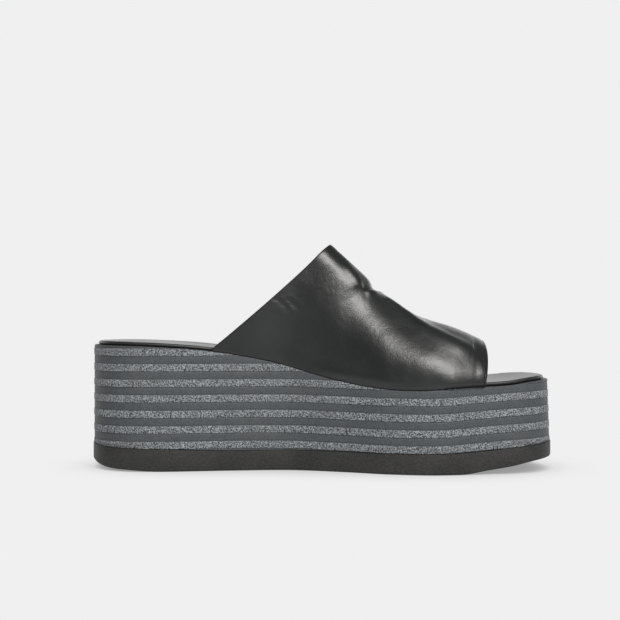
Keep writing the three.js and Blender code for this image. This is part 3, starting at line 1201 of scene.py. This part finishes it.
def make_upper():
    rows = upper_rows()
    last = len(rows) - 1
    bm = bmesh.new()
    size = {"x_segments": last, "y_segments": OVER_COLUMNS, "size": 1}
    corners = bmesh.ops.create_grid(bm, **size)["verts"]
    for face in bm.faces:
        face.material_index = rows[int((face.calc_center_median().x + 1) / 2 * last)][2]
    lifts = {}
    for corner in corners:
        along, deep, _ = rows[round((corner.co.x + 1) / 2 * last)]
        over = round((corner.co.y + 1) / 2 * OVER_COLUMNS) / OVER_COLUMNS
        point = upper_point(along, over)
        normal = upper_normal(along, over)
        if (along, over) not in lifts:
            lifts[along, over] = crease_height(point, normal)
        rise = clamp(min(over, 1 - over) / SOLE_FADE)
        lift = (lifts[along, over] + hem_height(along, over, deep)) * rise
        corner.co = (point + normal * (lift - deep * WALL)) * MM
    bmesh.ops.remove_doubles(bm, verts=bm.verts, dist=WELD * MM)
    underside = bmesh.ops.holes_fill(bm, edges=bm.edges, sides=0)["faces"]
    bmesh.ops.triangulate(bm, faces=underside)
    bmesh.ops.recalc_face_normals(bm, faces=bm.faces)
    open_edges = sum(not edge.is_manifold for edge in bm.edges)
    print("  faces:", len(bm.faces), " open edges:", open_edges)
    return new_piece("upper_leather", bm, "upper", "upper_leather", leather, lining, edge_ink)


upper = make_upper()

# %% [markdown]
# ## Floor, light and surroundings
#
# The shoe stands on a plain pale floor that glows evenly. Close to the shoe, where the shoe
# hides the open sky from it, a contact shadow is painted into its glow. The light on the shoe
# comes from one lamp and from the world around it.

# %% Floor
PALE = 0.871
CONTACT_SHADE = 0.28
SHADE_REACH = 0.055


def make_floor():
    bm = bmesh.new()
    bmesh.ops.create_circle(bm, cap_ends=True, segments=96, radius=6)
    mesh = bpy.data.meshes.new("floor")
    bm.to_mesh(mesh)
    bm.free()
    floor = bpy.data.objects.new("floor", mesh)
    finish = new_finish("pale_floor")
    sockets = {"Distance": SHADE_REACH}
    open_sky = finish.node("AmbientOcclusion", {"samples": 16}, sockets, output="AO")
    # Painted contact shadow: the glow darkens towards CONTACT_SHADE where ambient occlusion finds
    # the shoe close by.
    colour = finish.mix(open_sky.ramp(-0.1, 0.92), grey(CONTACT_SHADE), grey(PALE))
    glow = finish.node("Emission", None, {"Color": colour})
    finish.feed(finish.tree.nodes["Material Output"].inputs["Surface"], glow)
    mesh.materials.append(finish.owner)
    bpy.context.collection.objects.link(floor)
    return floor


floor = make_floor()
print("Floor", [round(side, 2) for side in floor.dimensions], "m")

# %% [markdown]
# The world is two things in one: what the camera sees behind the shoe, which is plain and
# pale, and the light that falls on it. That is bright low down behind the shoe, where the
# leather mirrors it wherever it is seen at a low angle, faint low down in front, and almost
# dark overhead.

# %% World
AROUND_GLOW, BACK_GLOW, FRONT_GLOW = 0.08, 2.2, 0.24


def make_world():
    world = bpy.data.worlds.new("studio")
    bpy.context.scene.world = world
    finish = Finish(world)
    way = finish.node("TexCoord", output="Generated")
    _, across, up = finish.axes(way)
    behind = across.ramp(0.1, 0.7)
    low = 1 - up.ramp(0.15, 0.55)
    front = (-1 * across).ramp(0.0, 0.8)
    strength = AROUND_GLOW + BACK_GLOW * behind * low + FRONT_GLOW * front * low
    light = finish.node("Background", None, {"Color": grey(1), "Strength": strength})
    seen = finish.node("Background", None, {"Color": grey(PALE), "Strength": 1})
    ray = finish.node("LightPath", output="Is Camera Ray")
    both = finish.node("MixShader", None, {0: ray, 1: light, 2: seen})
    finish.feed(finish.tree.nodes["World Output"].inputs["Surface"], both)


make_world()
bpy.context.scene.view_settings.view_transform = "Standard"
print("World made")

# %% [markdown]
# One large lamp stands beside the camera, well above it and a little towards the toe. It makes
# the soft highlights on the rolls of the leather.

# %% Lamp


def make_lamp(name, colour, at, aim, size, power):
    lamp = bpy.data.lights.new(name, "AREA")
    lamp.shape = "RECTANGLE"
    lamp.size, lamp.size_y = size
    lamp.energy = power
    lamp.color = colour
    lamp_object = bpy.data.objects.new(name, lamp)
    lamp_object.location = at
    towards = Vector(aim) - Vector(at)
    lamp_object.rotation_euler = towards.to_track_quat("-Z", "Y").to_euler()
    bpy.context.collection.objects.link(lamp_object)
    print("Lamp", name, power, "W")


make_lamp(
    "key",
    colour=(1, 0.985, 0.955),
    at=(0.28, -0.80, 0.96),
    aim=(0.03, 0, 0.07),
    size=(0.55, 0.45),
    power=16,
)

# %% Pieces
print("Pieces:", ", ".join(piece.name for piece in (outsole, midsole, insole, upper)))
